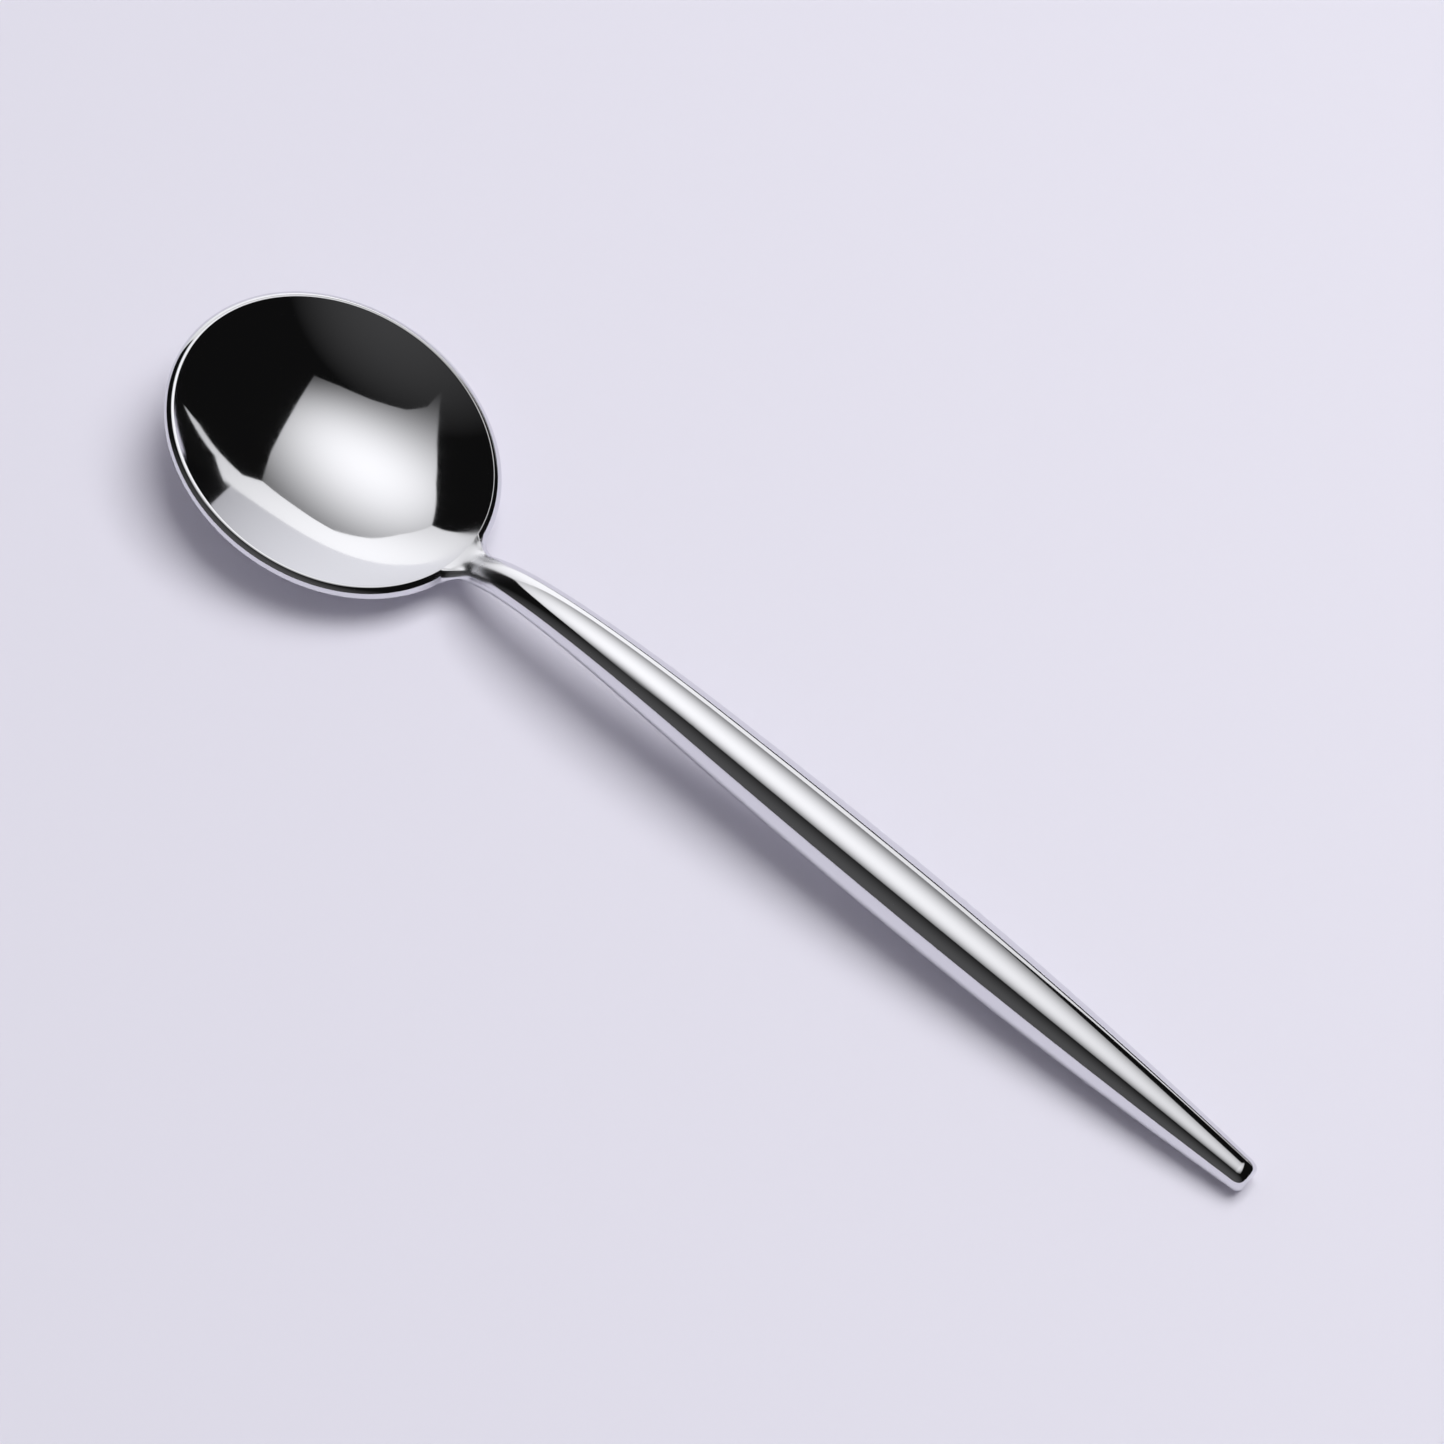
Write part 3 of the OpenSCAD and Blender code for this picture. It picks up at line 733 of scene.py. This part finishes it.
def stage_mesh(name, points, faces, surface):
    """A mesh of the stage."""
    mesh = bpy.data.meshes.new(name)
    mesh.from_pydata(np.asarray(points, float).tolist(), [], faces)
    mesh.shade_smooth()
    mesh.materials.append(surface)
    made = bpy.data.objects.new(name, mesh)
    bpy.context.scene.collection.objects.link(made)
    return made


# Lit panels that the steel mirrors, painted reflections that glow but light nothing: the outline, the way the
# panel lies, its distance, its brightest spot, how far the glow of that reaches, and the level that it fades
# to. Directions are seen from the bowl, as height and turn in degrees, and lengths are in metres.
PANELS = {
    "softbox": {
        "outline": ((57.5, -44), (68, -9), (60, 59), (41.5, 81.5), (22, 94.5), (24, 106), (24, 118.5),
                    (28, 131.5), (33, 146), (33.5, 163.5), (47, -165), (47.5, -137), (45, -125), (42, -115),
                    (46, -117), (51, -112.5), (57.5, -93.5), (59.5, -68.5)),
        "facing": (60, 126.87), "distance": 1.3, "brightest": (72, 175), "reach": 0.91, "low": 0.0,
    },
    "backdrop": {
        "outline": ((4, 66), (9, 72), (12.5, 83), (15.5, 91.5), (22, 94.5), (33, 106), (40, 140), (39, 163),
                    (28, 165.5), (21.5, 168), (15, 170), (0, 175), (0, 128), (3, 116), (6, 101.5), (6, 94),
                    (9.5, 84.5), (6.5, 73.5)),
        "facing": (0, 130), "distance": 2.2, "brightest": (15, 128), "reach": 1.2, "low": 0.7,
    },
}

# Dark walls, a painted reflection that glows dimly: where the glow fades along Y, as shares of the room's
# radius, and the share of its level that stays
WALL_FADE = (-0.95, -0.5)
WALL_DARKEST = 0.06

# Half of the floor's side and the radius of the room, in metres
FLOOR_HALF = 6.0
DOME_RADIUS = 9.0


def heading(height, turn):
    """Direction at a height above the horizon and a turn from +X, in degrees."""
    e, a = math.radians(height), math.radians(turn)
    return np.array([math.cos(e) * math.cos(a), math.cos(e) * math.sin(a), math.sin(e)])


def glowing(name, middle, reach, low, high):
    """A glowing surface with a painted pool of light, brightest at one point and fading round it in a bell
    curve.
    """
    made, tree = material(name)
    place = add(tree, "ShaderNodeTexCoord").outputs["Object"]
    off = add(tree, "ShaderNodeVectorMath", {0: place, 1: middle}, operation="DISTANCE").outputs["Value"]
    near = add(tree, "ShaderNodeMath", {0: off, 1: reach}, operation="DIVIDE").outputs[0]
    square = add(tree, "ShaderNodeMath", {0: near, 1: near}, operation="MULTIPLY").outputs[0]
    fade = add(tree, "ShaderNodeMath", {0: square, 1: -0.5}, operation="MULTIPLY").outputs[0]
    bell = add(tree, "ShaderNodeMath", {0: fade}, operation="EXPONENT").outputs[0]
    level = add(tree, "ShaderNodeMapRange", {"Value": bell, "To Min": low, "To Max": high}).outputs[0]
    glow = add(tree, "ShaderNodeEmission", {"Strength": level})
    add(tree, "ShaderNodeOutputMaterial", {"Surface": glow.outputs[0]})
    return made


def mirrored_only(obj):
    """Lets only the polished steel see an object of the stage."""
    for kind in ("camera", "diffuse", "transmission", "volume_scatter", "shadow"):
        setattr(obj, f"visible_{kind}", False)


class SPOON_OT_stage(bpy.types.Operator):
    """Build the paper floor, the lit panels, the dark room, the lamps and the camera"""

    bl_idname = "spoon.stage"
    bl_label = "Stage"

    def execute(self, context):
        light = context.scene.spoon_light
        h = FLOOR_HALF
        stage_mesh("floor", [(-h, -h, 0), (h, -h, 0), (h, h, 0), (-h, h, 0)], [(0, 1, 2, 3)],
                   shared(matte_paper, context.scene.spoon_finish))
        bowl = Spoon(context.scene.spoon_sizes).bowl_place * MM
        for name, panel in PANELS.items():
            self.panel(name, bowl, getattr(light, name), **panel)
        self.dark_room(light)
        self.lamps(context)
        self.camera(context)
        return {"FINISHED"}

    @staticmethod
    def panel(name, eye, high, outline, facing, distance, brightest, reach, low):
        """Flat glowing panel, a painted reflection that the bowl mirrors but that lights nothing, given by
        its outline as seen from the bowl.
        """
        across = heading(*facing)
        ways = [heading(*spot) for spot in (*outline, brightest)]
        *rim, middle = [eye + way * distance / (way @ across) for way in ways]
        glow = glowing(f"lit_{name}", middle, reach, low, high)
        mirrored_only(stage_mesh(name, rim, [tuple(range(len(rim)))], glow))

    @staticmethod
    def lamps(context):
        """Key lamp, which leans over from behind and stays out of the mirror, and the room's fill."""
        light = context.scene.spoon_light
        lamp = bpy.data.lights.new("key", "AREA")
        lamp.energy = light.key
        lamp.size = light.key_size
        key = bpy.data.objects.new("key", lamp)
        context.scene.collection.objects.link(key)
        key.location = light.key_place
        key.rotation_euler = key.location.to_track_quat("Z", "Y").to_euler()
        key.visible_glossy = False
        world = bpy.data.worlds.new("room")
        world.use_nodes = True
        context.scene.world = world
        back = world.node_tree.nodes["Background"]
        back.inputs["Color"].default_value = linear(context.scene.spoon_finish.fill)
        back.inputs["Strength"].default_value = light.room

    @staticmethod
    def dark_room(light):
        """Dark walls round the stage as a painted reflection: a dim glow, a little brighter in front, which
        lights nothing and only the polished steel mirrors.
        """
        made, tree = material("dark_wall")
        spot = add(tree, "ShaderNodeTexCoord").outputs["Object"]
        place = add(tree, "ShaderNodeSeparateXYZ", {0: spot}).outputs
        # Painted reflection: the walls glow brightest in front (towards -Y) and fade to a small share of that
        # further back
        shade = add(tree, "ShaderNodeMapRange", {
            "Value": place[1], "From Min": WALL_FADE[0] * DOME_RADIUS, "From Max": WALL_FADE[1] * DOME_RADIUS,
            "To Min": light.dark, "To Max": WALL_DARKEST * light.dark})
        glow = add(tree, "ShaderNodeEmission", {"Strength": shade.outputs[0]})
        add(tree, "ShaderNodeOutputMaterial", {"Surface": glow.outputs[0]})
        rise = np.linspace(0, QUARTER, DOME_RINGS + 1)[:-1, None]
        turn = np.linspace(0, 2 * math.pi, DOME_SIDES + 1)[:-1]
        rings = DOME_RADIUS * stacked(np.cos(rise) * np.cos(turn), np.cos(rise) * np.sin(turn), np.sin(rise))
        points = np.concatenate([rings.reshape(-1, 3), [DOME_RADIUS * UP]])
        top = len(points) - 1
        faces = grid_faces(0, DOME_RINGS, DOME_SIDES) + fan_faces(top, top - DOME_SIDES, DOME_SIDES, True)
        mirrored_only(stage_mesh("dark_room", points, faces, made))

    @staticmethod
    def camera(context):
        """Camera at the photograph's angle."""
        light = context.scene.spoon_light
        lens = bpy.data.cameras.new("camera")
        lens.lens = light.focal
        lens.clip_start = 10 * MM
        cam = bpy.data.objects.new("camera", lens)
        context.scene.collection.objects.link(cam)
        a, e = light.azimuth, light.elevation
        back = Vector((math.sin(a) * math.cos(e), -math.cos(a) * math.cos(e), math.sin(e)))
        cam.location = Vector(light.aim) + back * light.distance
        cam.rotation_euler = back.to_track_quat("Z", "Y").to_euler()
        context.scene.camera = cam
        context.scene.view_settings.view_transform = "Standard"


class SPOON_PT_panel(bpy.types.Panel):
    """Sizes, colours and steps of the spoon."""

    bl_idname = "SPOON_PT_panel"
    bl_label = "Soup spoon"
    bl_space_type = "VIEW_3D"
    bl_region_type = "UI"
    bl_category = "Spoon"

    def draw(self, context):
        for step in STEPS:
            self.layout.operator(step.bl_idname)
        for group in (context.scene.spoon_sizes, context.scene.spoon_finish, context.scene.spoon_light):
            box = self.layout.box()
            for name in group.__annotations__:
                box.prop(group, name)


STEPS = (SPOON_OT_bowl, SPOON_OT_neck, SPOON_OT_handle, SPOON_OT_tip_plug, SPOON_OT_inside, SPOON_OT_stage)
GROUPS = {"spoon_sizes": SpoonSizes, "spoon_finish": SpoonFinish, "spoon_light": SpoonLight}


def register():
    for cls in (*GROUPS.values(), *STEPS, SPOON_PT_panel):
        bpy.utils.register_class(cls)
    for name, cls in GROUPS.items():
        setattr(bpy.types.Scene, name, PointerProperty(type=cls))


def unregister():
    for name in GROUPS:
        delattr(bpy.types.Scene, name)
    for cls in reversed((*GROUPS.values(), *STEPS, SPOON_PT_panel)):
        bpy.utils.unregister_class(cls)


def main():
    register()
    bpy.ops.spoon.bowl()
    bpy.ops.spoon.neck()
    bpy.ops.spoon.handle()
    bpy.ops.spoon.tip_plug()
    bpy.ops.spoon.inside()
    bpy.ops.spoon.stage()


if __name__ == "__main__":
    main()
